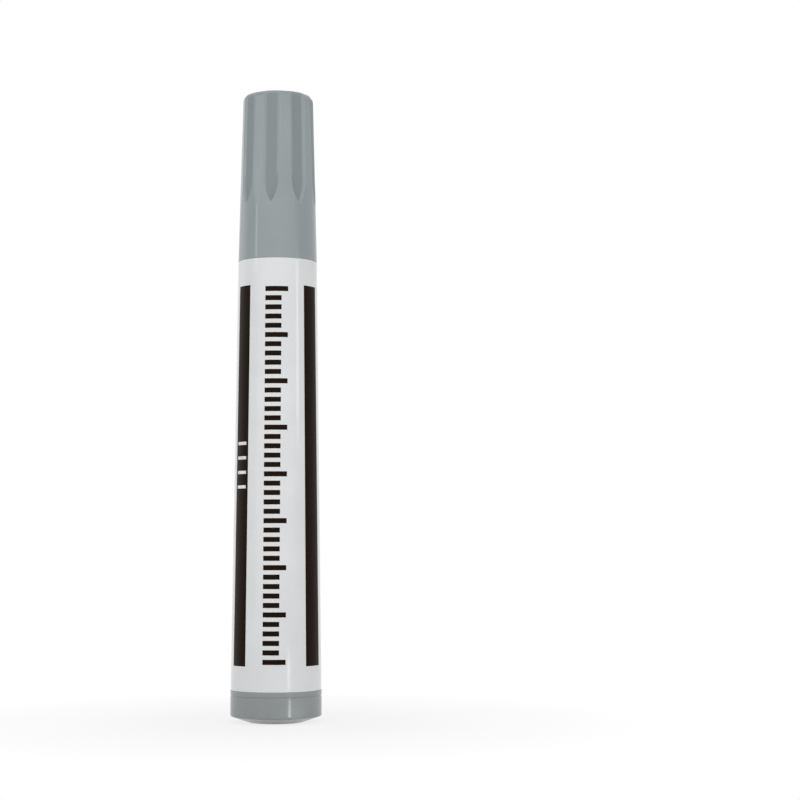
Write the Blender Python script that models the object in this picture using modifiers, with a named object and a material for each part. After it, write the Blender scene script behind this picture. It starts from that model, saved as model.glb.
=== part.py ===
"""A furniture touch-up marker, standing on its end plug with its cap on.

The cap pulls off. Pressing the nib on the work pushes the valve stem off its seat, and pigment ink runs
from the barrel to the nib. A loose ball in the barrel stirs the ink when the marker is shaken.

All sizes are in metres. The axis is +Z, the foot is at z = 0 and the printed side faces -Y.
"""

import math

import bmesh
import bpy

# Fits
PRESS_GAP = 0.0001
SEAT_GAP = 0.0001
SLIDE_GAP = 0.00015
FLOW_GAP = 0.0005

# End plug
PLUG_HEIGHT = 0.0060
PLUG_LIP = 0.00005
PLUG_FOOT_RADIUS = 0.0051
PLUG_CHAMFER_HEIGHT = 0.0012
PLUG_EDGE_ROUND = 0.0003
PLUG_GROOVE_DROP = 0.0009
PLUG_GROOVE_WIDTH = 0.0003
PLUG_GROOVE_DEPTH = 0.0001
PLUG_INSERT_LENGTH = 0.0090
PLUG_WALL = 0.0010
PLUG_FLOOR = 0.0016
PLUG_RIB_COUNT = 2
PLUG_RIB_HEIGHT = 0.00025
PLUG_RIB_WIDTH = 0.0006

# Barrel
BARREL_LENGTH = 0.0814
BARREL_TAIL_RADIUS = 0.0086
BARREL_FRONT_RADIUS = 0.00755
BARREL_WALL = 0.0012
SHOULDER_WALL = 0.0016
SHOULDER_ROUND = 0.00015
NECK_LENGTH = 0.0080
NECK_WALL = 0.0011
BEAD_WIDTH = 0.0010
BEAD_SHARE = 0.5

# Front section
FLANGE_THICKNESS = 0.0014
NOSE_LENGTH = 0.0055
NOSE_WALL = 0.0015
CONE_LENGTH = 0.0045
NOSE_TIP_WALL = 0.0007
SPIGOT_WALL = 0.0009
CEILING_DEPTH = 0.0030

# Nib
NIB_RADIUS = 0.0022
NIB_EXPOSED = 0.0060
NIB_TIP_LENGTH = 0.0036
NIB_TRAVEL = 0.0020
NIB_CLEARANCE = 0.0010

# Valve
VALVE_SEAT_THICKNESS = 0.0015
STEM_RADIUS = 0.0011
HEAD_THICKNESS = 0.0012
TAIL_RADIUS = 0.0009
TAIL_OVERHANG = 0.0010
SPRING_LENGTH = 0.0090
SPRING_WIRE = 0.0004
SPRING_TURNS = 8
CAGE_WALL = 0.0008
CAGE_FLOOR = 0.0010
WINDOW_HEIGHT = 0.0035
WINDOW_WIDTH = 0.0022
WINDOW_SILL = 0.0005
BALL_RADIUS = 0.0030

# Cap
CAP_TAPER = 0.0008
CAP_SKIRT_WALL = 0.0012
CAP_TOP_WALL = 0.0015
CAP_TOP_ROUND = 0.0010
CAP_LIFT = 0.0004
LINER_WALL = 0.0007
LINER_TOP = 0.0009
TIP_CLEARANCE = 0.0045
FLUTE_COUNT = 8
FLUTE_PHASE = math.radians(-11.0)
FLUTE_WIDTH = 0.0034
FLUTE_DEPTH = 0.00052
FLUTE_LENGTH = 0.0217
FLUTE_RUNOUT = 0.0059
FLUTE_OVERSHOOT = 0.0010

# Facets
OUTER_STEPS = 48
INNER_STEPS = 32
ROUND_STEPS = 3
CUTTER_STEPS = 48
NOSE_STEPS = 8
TIP_STEPS = 8
COIL_STEPS = 10
MERGE = 0.000001
SHARP_ANGLE = math.radians(30.0)

# Heights above the foot
Z_TAIL = PLUG_HEIGHT + SEAT_GAP
Z_SHOULDER = Z_TAIL + BARREL_LENGTH
Z_NECK_TOP = Z_SHOULDER + NECK_LENGTH
Z_FLANGE = Z_NECK_TOP + SEAT_GAP
Z_FLANGE_TOP = Z_FLANGE + FLANGE_THICKNESS
Z_CONE = Z_FLANGE_TOP + NOSE_LENGTH
Z_NOSE_TIP = Z_CONE + CONE_LENGTH
Z_NIB_TIP = Z_NOSE_TIP + NIB_EXPOSED
Z_CEILING = Z_NECK_TOP - CEILING_DEPTH
Z_NIB_REAR = Z_CEILING + NIB_CLEARANCE + NIB_TRAVEL
Z_VALVE_SEAT = Z_CEILING - SEAT_GAP
Z_VALVE_FACE = Z_VALVE_SEAT - VALVE_SEAT_THICKNESS
Z_STEM_TOP = Z_NIB_REAR - SEAT_GAP
Z_HEAD = Z_VALVE_FACE - SEAT_GAP
Z_HEAD_BACK = Z_HEAD - HEAD_THICKNESS
Z_SPRING_TOP = Z_HEAD_BACK - SEAT_GAP
Z_SPRING_FOOT = Z_SPRING_TOP - SPRING_LENGTH
Z_CAGE_FLOOR = Z_SPRING_FOOT - SEAT_GAP
Z_CAGE_FOOT = Z_CAGE_FLOOR - CAGE_FLOOR
Z_TAIL_END = Z_CAGE_FOOT - TAIL_OVERHANG
Z_WINDOW = Z_CAGE_FLOOR + WINDOW_SILL
Z_SPIGOT_END = Z_WINDOW + WINDOW_HEIGHT + WINDOW_SILL
Z_CAP_MOUTH = Z_SHOULDER + SEAT_GAP
Z_CAP_STEP = Z_FLANGE_TOP + CAP_LIFT
Z_LINER_CEILING = Z_NIB_TIP + TIP_CLEARANCE
Z_LINER_TOP = Z_LINER_CEILING + LINER_TOP
Z_CAP_CEILING = Z_LINER_TOP + SEAT_GAP
Z_CAP_TOP = Z_CAP_CEILING + CAP_TOP_WALL
Z_PLUG_INSERT = Z_TAIL + PLUG_INSERT_LENGTH
Z_BALL = PLUG_FLOOR + SEAT_GAP + BALL_RADIUS

# Radii that follow from the fits
PLUG_RADIUS = BARREL_TAIL_RADIUS + PLUG_LIP
CAP_SKIRT_BORE = BARREL_FRONT_RADIUS - CAP_SKIRT_WALL
NECK_RADIUS = CAP_SKIRT_BORE - SLIDE_GAP
NECK_BORE = NECK_RADIUS - NECK_WALL
SPIGOT_RADIUS = NECK_BORE - PRESS_GAP
CHAMBER_RADIUS = SPIGOT_RADIUS - SPIGOT_WALL
CAGE_RADIUS = CHAMBER_RADIUS - PRESS_GAP
CAGE_BORE = CAGE_RADIUS - CAGE_WALL
HEAD_RADIUS = CAGE_BORE - FLOW_GAP
VALVE_SEAT_BORE = STEM_RADIUS + FLOW_GAP
TAIL_HOLE = TAIL_RADIUS + SLIDE_GAP
COIL_RADIUS = TAIL_RADIUS + SLIDE_GAP + SPRING_WIRE / 2
NIB_BORE = NIB_RADIUS + SLIDE_GAP
NOSE_TIP_RADIUS = NIB_BORE + NOSE_TIP_WALL
NOSE_RADIUS = NIB_BORE + NOSE_WALL
LINER_BORE = NOSE_RADIUS + SLIDE_GAP
LINER_RADIUS = LINER_BORE + LINER_WALL
CAP_LINER_BORE = LINER_RADIUS + PRESS_GAP

# Materials: base colour, roughness and metallic value
CAP_GREY = ((0.285, 0.325, 0.335), 0.30, 0.0)
PLUG_GREY = ((0.27, 0.29, 0.295), 0.28, 0.0)
BARREL_WHITE = ((0.765, 0.775, 0.785), 0.25, 0.0)
LINER_NATURAL = ((0.76, 0.77, 0.76), 0.45, 0.0)
SECTION_WHITE = ((0.74, 0.75, 0.75), 0.40, 0.0)
NIB_FELT = ((0.55, 0.55, 0.53), 0.95, 0.0)
SEAT_RUBBER = ((0.05, 0.05, 0.05), 0.80, 0.0)
STEM_NATURAL = ((0.70, 0.71, 0.70), 0.45, 0.0)
CAGE_NATURAL = ((0.68, 0.69, 0.68), 0.45, 0.0)
SPRING_STEEL = ((0.60, 0.60, 0.60), 0.30, 1.0)
BALL_STEEL = ((0.65, 0.65, 0.66), 0.15, 1.0)


def clear_scene():
    """Removes whatever the file opened with."""
    for item in list(bpy.data.objects):
        bpy.data.objects.remove(item, do_unlink=True)


def make_collection(name):
    """A collection of the scene."""
    collection = bpy.data.collections.new(name)
    bpy.context.scene.collection.children.link(collection)
    return collection


def paint(item, finish):
    """Gives an object a material of its own."""
    colour, roughness, metallic = finish
    material = bpy.data.materials.new(item.name)
    material.use_nodes = True
    shader = material.node_tree.nodes["Principled BSDF"]
    shader.inputs["Base Color"].default_value = (*colour, 1.0)
    shader.inputs["Roughness"].default_value = roughness
    shader.inputs["Metallic"].default_value = metallic
    item.data.materials.append(material)


def turned(name, collection, profile, origin_z, steps):
    """A turned solid from (radius, height above the foot) points that run down its outer side.

    A profile that starts off the axis is closed into a ring.
    """
    mesh = bpy.data.meshes.new(name)
    points = [(radius, 0.0, height - origin_z) for radius, height in profile]
    edges = [(index, index + 1) for index in range(len(points) - 1)]
    if profile[0][0] > 0.0:
        edges.append((len(points) - 1, 0))
    mesh.from_pydata(points, edges, [])
    item = bpy.data.objects.new(name, mesh)
    item.location.z = origin_z
    collection.objects.link(item)
    screw = item.modifiers.new("turn", "SCREW")
    screw.steps = steps
    screw.render_steps = steps
    screw.use_merge_vertices = True
    screw.merge_threshold = MERGE
    return item


def cut(item, cutter):
    """Takes a cutter's shape out of an object."""
    cutter.hide_render = True
    cutter.display_type = "WIRE"
    boolean = item.modifiers.new(cutter.name, "BOOLEAN")
    boolean.operation = "DIFFERENCE"
    boolean.solver = "EXACT"
    boolean.object = cutter


def settle(item):
    """Makes what the modifiers give the object's own mesh, smooth up to its sharp edges."""
    bpy.context.view_layer.update()
    evaluated = item.evaluated_get(bpy.context.evaluated_depsgraph_get())
    mesh = bpy.data.meshes.new_from_object(evaluated)
    item.modifiers.clear()
    item.data = mesh
    mesh.shade_smooth()
    mesh.set_sharp_from_angle(angle=SHARP_ANGLE)


def rounded_edge(radius, height, size):
    """Points of a quarter round on a turned piece's top edge, from the flat top down to the side."""
    points = []
    for step in range(ROUND_STEPS + 1):
        angle = math.pi / 2 * (1 - step / ROUND_STEPS)
        points.append((radius - size + size * math.cos(angle), height - size + size * math.sin(angle)))
    return points


def barrel_radius(height):
    """The barrel's outer radius, which tapers from its tail to its shoulder."""
    share = (height - Z_TAIL) / BARREL_LENGTH
    return BARREL_TAIL_RADIUS + (BARREL_FRONT_RADIUS - BARREL_TAIL_RADIUS) * share


def barrel_bore(height):
    """The barrel's inner radius."""
    return barrel_radius(height) - BARREL_WALL


def cap_radius(height):
    """The cap's outer radius between its flutes."""
    share = (height - Z_CAP_MOUTH) / (Z_CAP_TOP - Z_CAP_MOUTH)
    return BARREL_FRONT_RADIUS - CAP_TAPER * share


def make_barrel(parts):
    """The tapered tube with its shoulder and the neck that the cap slides over."""
    bead_middle = (Z_SHOULDER + Z_NECK_TOP) / 2
    bead_radius = NECK_RADIUS + SLIDE_GAP * BEAD_SHARE
    bore_end = Z_SHOULDER - SHOULDER_WALL
    profile = [
        (NECK_RADIUS, Z_NECK_TOP),
        (NECK_RADIUS, bead_middle + BEAD_WIDTH / 2),
        (bead_radius, bead_middle),
        (NECK_RADIUS, bead_middle - BEAD_WIDTH / 2),
        (NECK_RADIUS, Z_SHOULDER),
        *rounded_edge(BARREL_FRONT_RADIUS, Z_SHOULDER, SHOULDER_ROUND),
        (BARREL_TAIL_RADIUS, Z_TAIL),
        (barrel_bore(Z_TAIL), Z_TAIL),
        (barrel_bore(bore_end), bore_end),
        (NECK_BORE, bore_end),
        (NECK_BORE, Z_NECK_TOP),
    ]
    barrel = turned("barrel", parts, profile, Z_TAIL, OUTER_STEPS)
    settle(barrel)
    paint(barrel, BARREL_WHITE)
    return barrel


def make_end_plug(parts):
    """The plug that closes the tail: a chamfered foot below, a ribbed cup inside the barrel."""
    groove_top = PLUG_HEIGHT - PLUG_GROOVE_DROP
    groove_foot = groove_top - PLUG_GROOVE_WIDTH
    rib_pitch = PLUG_INSERT_LENGTH / (PLUG_RIB_COUNT + 1)
    sunk = PRESS_GAP + PLUG_RIB_HEIGHT
    profile = [(barrel_bore(Z_PLUG_INSERT) - sunk, Z_PLUG_INSERT)]
    for rib in range(PLUG_RIB_COUNT):
        middle = Z_PLUG_INSERT - rib_pitch * (rib + 1)
        top = middle + PLUG_RIB_WIDTH / 2
        foot = middle - PLUG_RIB_WIDTH / 2
        profile.append((barrel_bore(top) - sunk, top))
        profile.append((barrel_bore(middle) - PRESS_GAP, middle))
        profile.append((barrel_bore(foot) - sunk, foot))
    cup_radius = barrel_bore(Z_PLUG_INSERT) - sunk - PLUG_WALL
    profile += [
        (barrel_bore(PLUG_HEIGHT) - sunk, PLUG_HEIGHT),
        (PLUG_RADIUS, PLUG_HEIGHT),
        (PLUG_RADIUS, groove_top),
        (PLUG_RADIUS - PLUG_GROOVE_DEPTH, groove_top),
        (PLUG_RADIUS - PLUG_GROOVE_DEPTH, groove_foot),
        (PLUG_RADIUS, groove_foot),
        (PLUG_RADIUS, PLUG_CHAMFER_HEIGHT + PLUG_EDGE_ROUND),
        (PLUG_RADIUS - PLUG_EDGE_ROUND, PLUG_CHAMFER_HEIGHT),
        (PLUG_FOOT_RADIUS, 0.0),
        (0.0, 0.0),
    ]
    profile = [(0.0, PLUG_FLOOR), (cup_radius, PLUG_FLOOR), (cup_radius, Z_PLUG_INSERT), *profile]
    plug = turned("end_plug", parts, profile, 0.0, OUTER_STEPS)
    settle(plug)
    paint(plug, PLUG_GREY)
    return plug


def make_front_section(parts):
    """The nose that guides the nib, with a flange on the neck and a spigot that holds the valve."""
    profile = [
        (NOSE_TIP_RADIUS, Z_NOSE_TIP),
        (NOSE_RADIUS, Z_CONE),
        (NOSE_RADIUS, Z_FLANGE_TOP),
        (NECK_RADIUS, Z_FLANGE_TOP),
        (NECK_RADIUS, Z_FLANGE),
        (SPIGOT_RADIUS, Z_FLANGE),
        (SPIGOT_RADIUS, Z_SPIGOT_END),
        (CHAMBER_RADIUS, Z_SPIGOT_END),
        (CHAMBER_RADIUS, Z_CEILING),
        (NIB_BORE, Z_CEILING),
        (NIB_BORE, Z_NOSE_TIP),
    ]
    section = turned("front_section", parts, profile, Z_FLANGE, INNER_STEPS)
    settle(section)
    paint(section, SECTION_WHITE)
    return section


def make_nib(parts):
    """The fibre nib with its bullet tip."""
    tip_base = Z_NIB_TIP - NIB_TIP_LENGTH
    profile = []
    for step in range(TIP_STEPS + 1):
        angle = math.pi / 2 * step / TIP_STEPS
        profile.append((NIB_RADIUS * math.sin(angle), tip_base + NIB_TIP_LENGTH * math.cos(angle)))
    profile += [(NIB_RADIUS, Z_NIB_REAR), (0.0, Z_NIB_REAR)]
    nib = turned("nib", parts, profile, Z_NIB_REAR, INNER_STEPS)
    settle(nib)
    paint(nib, NIB_FELT)
    return nib


def make_valve_seat(parts):
    """The soft ring that the valve head closes against."""
    profile = [
        (CAGE_RADIUS, Z_VALVE_SEAT),
        (CAGE_RADIUS, Z_VALVE_FACE),
        (VALVE_SEAT_BORE, Z_VALVE_FACE),
        (VALVE_SEAT_BORE, Z_VALVE_SEAT),
    ]
    seat = turned("valve_seat", parts, profile, Z_VALVE_FACE, INNER_STEPS)
    settle(seat)
    paint(seat, SEAT_RUBBER)
    return seat


def make_valve_stem(parts):
    """The stem: a rod that the nib pushes, a head that seals the seat and a tail inside the spring."""
    profile = [
        (0.0, Z_STEM_TOP),
        (STEM_RADIUS, Z_STEM_TOP),
        (STEM_RADIUS, Z_HEAD),
        (HEAD_RADIUS, Z_HEAD),
        (HEAD_RADIUS, Z_HEAD_BACK),
        (TAIL_RADIUS, Z_HEAD_BACK),
        (TAIL_RADIUS, Z_TAIL_END),
        (0.0, Z_TAIL_END),
    ]
    stem = turned("valve_stem", parts, profile, Z_HEAD_BACK, INNER_STEPS)
    settle(stem)
    paint(stem, STEM_NATURAL)
    return stem


def make_valve_cage(parts, cutters):
    """The cup behind the seat that holds the spring, with windows for the ink."""
    profile = [
        (CAGE_RADIUS, Z_HEAD),
        (CAGE_RADIUS, Z_CAGE_FOOT),
        (TAIL_HOLE, Z_CAGE_FOOT),
        (TAIL_HOLE, Z_CAGE_FLOOR),
        (CAGE_BORE, Z_CAGE_FLOOR),
        (CAGE_BORE, Z_HEAD),
    ]
    cage = turned("valve_cage", parts, profile, Z_CAGE_FOOT, INNER_STEPS)
    across = 4 * CAGE_RADIUS
    for index, size in enumerate(((WINDOW_WIDTH, across), (across, WINDOW_WIDTH))):
        mesh = bpy.data.meshes.new(f"window_cutter_{index}")
        shape = bmesh.new()
        bmesh.ops.create_cube(shape, size=1.0)
        bmesh.ops.scale(shape, vec=(size[0], size[1], WINDOW_HEIGHT), verts=shape.verts)
        shape.to_mesh(mesh)
        shape.free()
        cutter = bpy.data.objects.new(mesh.name, mesh)
        cutter.location.z = Z_WINDOW + WINDOW_HEIGHT / 2
        cutters.objects.link(cutter)
        cut(cage, cutter)
    settle(cage)
    paint(cage, CAGE_NATURAL)
    return cage


def least_gap(points, wire):
    """The least gap between a coil's turns, on points at least half a turn apart."""
    apart = COIL_STEPS // 2
    pairs = [(a, b) for index, a in enumerate(points) for b in points[index + apart:]]
    return min(math.dist(a, b) for a, b in pairs) - wire


def make_valve_spring(parts):
    """The return spring, one open helix round the stem's tail."""
    count = SPRING_TURNS * COIL_STEPS
    rise = SPRING_LENGTH - SPRING_WIRE
    points = []
    for index in range(count + 1):
        angle = 2 * math.pi * index / COIL_STEPS
        height = SPRING_WIRE / 2 + rise * index / count
        points.append((COIL_RADIUS * math.cos(angle), COIL_RADIUS * math.sin(angle), height))
    print(f"least gap between the spring's turns: {least_gap(points, SPRING_WIRE) * 1000:.2f} mm")
    curve = bpy.data.curves.new("valve_spring", "CURVE")
    curve.dimensions = "3D"
    curve.bevel_depth = SPRING_WIRE / 2
    curve.bevel_resolution = 1
    curve.use_fill_caps = True
    spline = curve.splines.new("POLY")
    spline.points.add(count)
    for point, place in zip(spline.points, points):
        point.co = (*place, 1.0)
    spring = bpy.data.objects.new("valve_spring", curve)
    spring.location.z = Z_SPRING_FOOT
    parts.objects.link(spring)
    paint(spring, SPRING_STEEL)
    return spring


def make_mixing_ball(parts):
    """The loose steel ball, at rest on the plug's floor."""
    mesh = bpy.data.meshes.new("mixing_ball")
    shape = bmesh.new()
    bmesh.ops.create_uvsphere(shape, u_segments=INNER_STEPS, v_segments=INNER_STEPS // 2, radius=BALL_RADIUS)
    shape.to_mesh(mesh)
    shape.free()
    mesh.shade_smooth()
    ball = bpy.data.objects.new("mixing_ball", mesh)
    ball.location.z = Z_BALL
    parts.objects.link(ball)
    paint(ball, BALL_STEEL)
    return ball


def make_cap_liner(parts):
    """The inner cap, a cup that seals over the nose."""
    profile = [
        (0.0, Z_LINER_TOP),
        (LINER_RADIUS, Z_LINER_TOP),
        (LINER_RADIUS, Z_CAP_STEP),
        (LINER_BORE, Z_CAP_STEP),
        (LINER_BORE, Z_LINER_CEILING),
        (0.0, Z_LINER_CEILING),
    ]
    liner = turned("cap_liner", parts, profile, Z_CAP_STEP, INNER_STEPS)
    settle(liner)
    paint(liner, LINER_NATURAL)
    return liner


def make_flute_cutter(cutters, index):
    """A bullet that lies along the cap's side, nose down, and leaves a groove with a pointed end."""
    half = FLUTE_WIDTH / 2
    straight_foot = Z_CAP_TOP - FLUTE_LENGTH + FLUTE_RUNOUT
    side = cap_radius(straight_foot)
    chord_depth = FLUTE_DEPTH - (side - math.sqrt(side**2 - half**2))
    radius = (half**2 + chord_depth**2) / (2 * chord_depth)
    nose = FLUTE_RUNOUT / math.sqrt(1.0 - ((radius - FLUTE_DEPTH) / radius) ** 2)
    top = FLUTE_LENGTH - FLUTE_RUNOUT + FLUTE_OVERSHOOT
    profile = [(0.0, top), (radius, top)]
    for step in range(NOSE_STEPS + 1):
        angle = math.pi / 2 * step / NOSE_STEPS
        profile.append((radius * math.cos(angle), -nose * math.sin(angle)))
    profile[-1] = (0.0, -nose)
    cutter = turned(f"flute_cutter_{index}", cutters, profile, 0.0, CUTTER_STEPS)
    turn = FLUTE_PHASE + 2 * math.pi * index / FLUTE_COUNT
    away = side + radius - FLUTE_DEPTH
    cutter.location = (away * math.sin(turn), -away * math.cos(turn), straight_foot)
    cutter.rotation_euler = (-math.atan2(CAP_TAPER, Z_CAP_TOP - Z_CAP_MOUTH), 0.0, turn)
    return cutter


def make_cap_shell(parts, cutters):
    """The outer cap: a tapered cup with a bore for the neck, a narrower one for the liner, and flutes."""
    profile = [
        (0.0, Z_CAP_TOP),
        *rounded_edge(cap_radius(Z_CAP_TOP), Z_CAP_TOP, CAP_TOP_ROUND),
        (BARREL_FRONT_RADIUS, Z_CAP_MOUTH),
        (CAP_SKIRT_BORE, Z_CAP_MOUTH),
        (CAP_SKIRT_BORE, Z_CAP_STEP),
        (CAP_LINER_BORE, Z_CAP_STEP),
        (CAP_LINER_BORE, Z_CAP_CEILING),
        (0.0, Z_CAP_CEILING),
    ]
    shell = turned("cap_shell", parts, profile, Z_CAP_MOUTH, OUTER_STEPS)
    for index in range(FLUTE_COUNT):
        cut(shell, make_flute_cutter(cutters, index))
    settle(shell)
    paint(shell, CAP_GREY)
    return shell


def main():
    clear_scene()
    parts = make_collection("touch_up_marker")
    cutters = make_collection("cutters")
    pieces = [
        make_end_plug(parts),
        make_mixing_ball(parts),
        make_barrel(parts),
        make_valve_cage(parts, cutters),
        make_valve_spring(parts),
        make_valve_stem(parts),
        make_valve_seat(parts),
        make_front_section(parts),
        make_nib(parts),
        make_cap_liner(parts),
        make_cap_shell(parts, cutters),
    ]
    root = bpy.data.objects.new("touch_up_marker", None)
    parts.objects.link(root)
    for piece in pieces:
        piece.parent = root


main()
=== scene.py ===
"""The looks of a furniture touch-up marker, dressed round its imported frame.

Each turned piece is remade with fine facets and rounded edges in the place of its CAD node. The print is a
thin layer of ink on the barrel. Angles go round the axis from the front, which is -Y, towards +X.
"""

import math

import bmesh
import bpy
from mathutils import Matrix, Vector


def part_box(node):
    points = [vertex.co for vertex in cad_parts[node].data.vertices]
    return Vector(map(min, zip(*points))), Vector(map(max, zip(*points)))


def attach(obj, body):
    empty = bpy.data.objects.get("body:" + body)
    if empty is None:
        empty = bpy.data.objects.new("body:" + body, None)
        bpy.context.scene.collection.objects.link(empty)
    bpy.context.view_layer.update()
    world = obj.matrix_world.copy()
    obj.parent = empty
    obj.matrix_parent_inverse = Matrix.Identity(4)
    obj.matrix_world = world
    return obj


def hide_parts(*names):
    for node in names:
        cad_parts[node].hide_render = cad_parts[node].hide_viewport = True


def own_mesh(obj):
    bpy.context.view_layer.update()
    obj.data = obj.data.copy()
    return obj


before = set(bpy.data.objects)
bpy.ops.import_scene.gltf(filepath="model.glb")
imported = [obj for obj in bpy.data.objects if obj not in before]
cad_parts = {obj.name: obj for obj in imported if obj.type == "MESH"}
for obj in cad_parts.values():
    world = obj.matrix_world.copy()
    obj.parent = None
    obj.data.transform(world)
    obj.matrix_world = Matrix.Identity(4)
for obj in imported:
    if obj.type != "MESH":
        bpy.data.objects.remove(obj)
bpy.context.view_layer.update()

MM = 0.001
FULL_TURN = 2 * math.pi
QUARTER_TURN = math.pi / 2

# Names of the notes that the meshes carry for their materials
EDGE = "edge"
RECESS = "recess"

# Fineness of the meshes
OUTER_SEGMENTS = 288
CAP_SEGMENTS = 576
INNER_SEGMENTS = 128
ARC_STEPS = 6
ROUND_REACH = 0.49
SUPPORT = 0.2 * MM
SUPPORTED_LENGTH = 3 * SUPPORT
ON_AXIS = 1e-9
SHARP_ANGLE = math.radians(40.0)

# Rounds of the edges, from the crispest to the softest
ROUND_HAIR = 0.05 * MM
ROUND_CRISP = 0.10 * MM
ROUND_KEEN = 0.12 * MM
ROUND_TRIM = 0.15 * MM
ROUND_EASED = 0.20 * MM
ROUND_MILD = 0.25 * MM
ROUND_SOFT = 0.30 * MM
ROUND_WIDE = 0.40 * MM
ROUND_FULL = 0.50 * MM


def span(node):
    """A node's foot, top and outer radius."""
    low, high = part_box(node)
    return low.z, high.z, high.x


PLUG_FOOT, PLUG_INSERT_TOP, PLUG_RADIUS = span("end_plug")
BARREL_TAIL, NECK_TOP, TAIL_RADIUS = span("barrel")
CAP_MOUTH, CAP_TOP, MOUTH_RADIUS = span("cap_shell")
LINER_MOUTH, LINER_TOP, LINER_RADIUS = span("cap_liner")
SPIGOT_END, NOSE_TIP, FLANGE_RADIUS = span("front_section")
NIB_REAR, NIB_TIP, NIB_RADIUS = span("nib")
SEAT_FACE, SEAT_TOP, SEAT_RADIUS = span("valve_seat")
STEM_END, STEM_TOP, HEAD_RADIUS = span("valve_stem")
CAGE_FOOT, CAGE_TOP, CAGE_RADIUS = span("valve_cage")
SPRING_FOOT, SPRING_TOP, SPRING_RADIUS = span("valve_spring")
BALL_FOOT, BALL_TOP, BALL_RADIUS = span("mixing_ball")

# Fits and walls that the boxes don't give
SEAT_GAP = 0.1 * MM
PRESS_GAP = 0.1 * MM
SLIDE_GAP = 0.15 * MM
FLOW_GAP = 0.5 * MM
BARREL_WALL = 1.2 * MM
SHOULDER_WALL = 1.6 * MM
NECK_WALL = 1.1 * MM
CAP_SKIRT_WALL = 1.2 * MM
CAP_TOP_WALL = 1.5 * MM
LINER_WALL = 0.7 * MM
LINER_CEILING = 0.9 * MM
SEAM = 0.02 * MM
SHOULDER = CAP_MOUTH - SEAM
NECK_RADIUS = FLANGE_RADIUS


# Outlines and turned meshes
def arc_corner(before, corner, after, size):
    """Points of a round at a corner of a profile, of this radius or as large as its sides allow."""
    corner = Vector(corner)
    back = Vector(before) - corner
    onward = Vector(after) - corner
    reach = min(back.length, onward.length) * ROUND_REACH
    back_way = back.normalized()
    onward_way = onward.normalized()
    half = back_way.angle(onward_way) / 2
    setback = min(size / math.tan(half), reach)
    radius = setback * math.tan(half)
    centre = corner + (back_way + onward_way).normalized() * (radius / math.sin(half))
    start = corner + back_way * setback - centre
    end = corner + onward_way * setback - centre
    sweep = start.angle(end)
    points = []
    for step in range(ARC_STEPS + 1):
        share = step / ARC_STEPS
        blend = start * math.sin((1 - share) * sweep) + end * math.sin(share * sweep)
        points.append(tuple(centre + blend / math.sin(sweep)))
    return points


def supported(points, ring):
    """The outline with a point near both ends of each long stretch, so that it shades as straight."""
    ahead = points[1:] + points[:1] if ring else points[1:]
    result = []
    for start, end in zip(points, ahead):
        result.append(start)
        length = math.dist(start, end)
        if length > SUPPORTED_LENGTH:
            for share in (SUPPORT / length, 1.0 - SUPPORT / length):
                result.append(tuple(Vector(start).lerp(Vector(end), share)))
    return result if ring else result + points[-1:]


def profile(corners, ring=False):
    """A turned piece's outline from (radius, height, round) corners that run down its outer side."""
    points = []
    count = len(corners)
    for index, (radius, height, size) in enumerate(corners):
        at_end = not ring and index in (0, count - 1)
        if size == 0 or at_end:
            points.append((radius, height))
        else:
            before = corners[index - 1][:2]
            after = corners[(index + 1) % count][:2]
            points += arc_corner(before, (radius, height), after, size)
    return supported(points, ring)


def around(radius, angle, height):
    """The point at this radius, angle and height."""
    return radius * math.sin(angle), -radius * math.cos(angle), height


def add(name, data):
    """A new object in the scene."""
    thing = bpy.data.objects.new(name, data)
    bpy.context.scene.collection.objects.link(thing)
    return thing


def shade(mesh):
    """Shades a mesh smooth, with a crease along each sharp edge."""
    mesh.shade_smooth()
    mesh.set_sharp_from_angle(angle=SHARP_ANGLE)


def mark_edges(mesh):
    """Notes on each point how steeply the surface falls away on all sides, which is where it wears and
    where a painted highlight goes.
    """
    fall = [0.0] * len(mesh.vertices)
    count = [0] * len(mesh.vertices)
    for line in mesh.edges:
        for here, there in (line.vertices, reversed(line.vertices)):
            away = mesh.vertices[there].co - mesh.vertices[here].co
            fall[here] -= away.normalized().dot(mesh.vertices[here].normal)
            count[here] += 1
    edge = mesh.attributes.get(EDGE) or mesh.attributes.new(EDGE, "FLOAT", "POINT")
    for value, total, lines in zip(edge.data, fall, count):
        value.value = total / max(1, lines)


def turn(name, rows, segments, ring=False):
    """A closed turned piece from (radius, height) rows.

    A radius is a number or a function of the angle, and a row of radius 0 is a point on the axis.
    """
    vertices = []
    loops = []
    for radius, height in rows:
        start = len(vertices)
        if not callable(radius) and radius < ON_AXIS:
            vertices.append((0.0, 0.0, height))
            loops.append([start] * segments)
            continue
        for segment in range(segments):
            angle = FULL_TURN * segment / segments
            here = radius(angle) if callable(radius) else radius
            vertices.append(around(here, angle, height))
        loops.append(list(range(start, start + segments)))
    pairs = list(zip(loops, loops[1:]))
    if ring:
        pairs.append((loops[-1], loops[0]))
    faces = []
    for upper, lower in pairs:
        for segment in range(segments):
            after = (segment + 1) % segments
            corners = (upper[segment], lower[segment], lower[after], upper[after])
            faces.append(tuple(dict.fromkeys(corners)))
    mesh = bpy.data.meshes.new(name)
    mesh.from_pydata(vertices, [], faces)
    shade(mesh)
    mark_edges(mesh)
    return add(name, mesh)


def worked_mesh(name, shape):
    """A new mesh from a worked shape, which is used up."""
    mesh = bpy.data.meshes.new(name)
    shape.to_mesh(mesh)
    shape.free()
    return mesh


def evaluated_mesh(thing):
    """A new mesh of what a curve, or a mesh with its modifiers, comes to."""
    bpy.context.view_layer.update()
    graph = bpy.context.evaluated_depsgraph_get()
    return bpy.data.meshes.new_from_object(thing.evaluated_get(graph))


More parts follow.
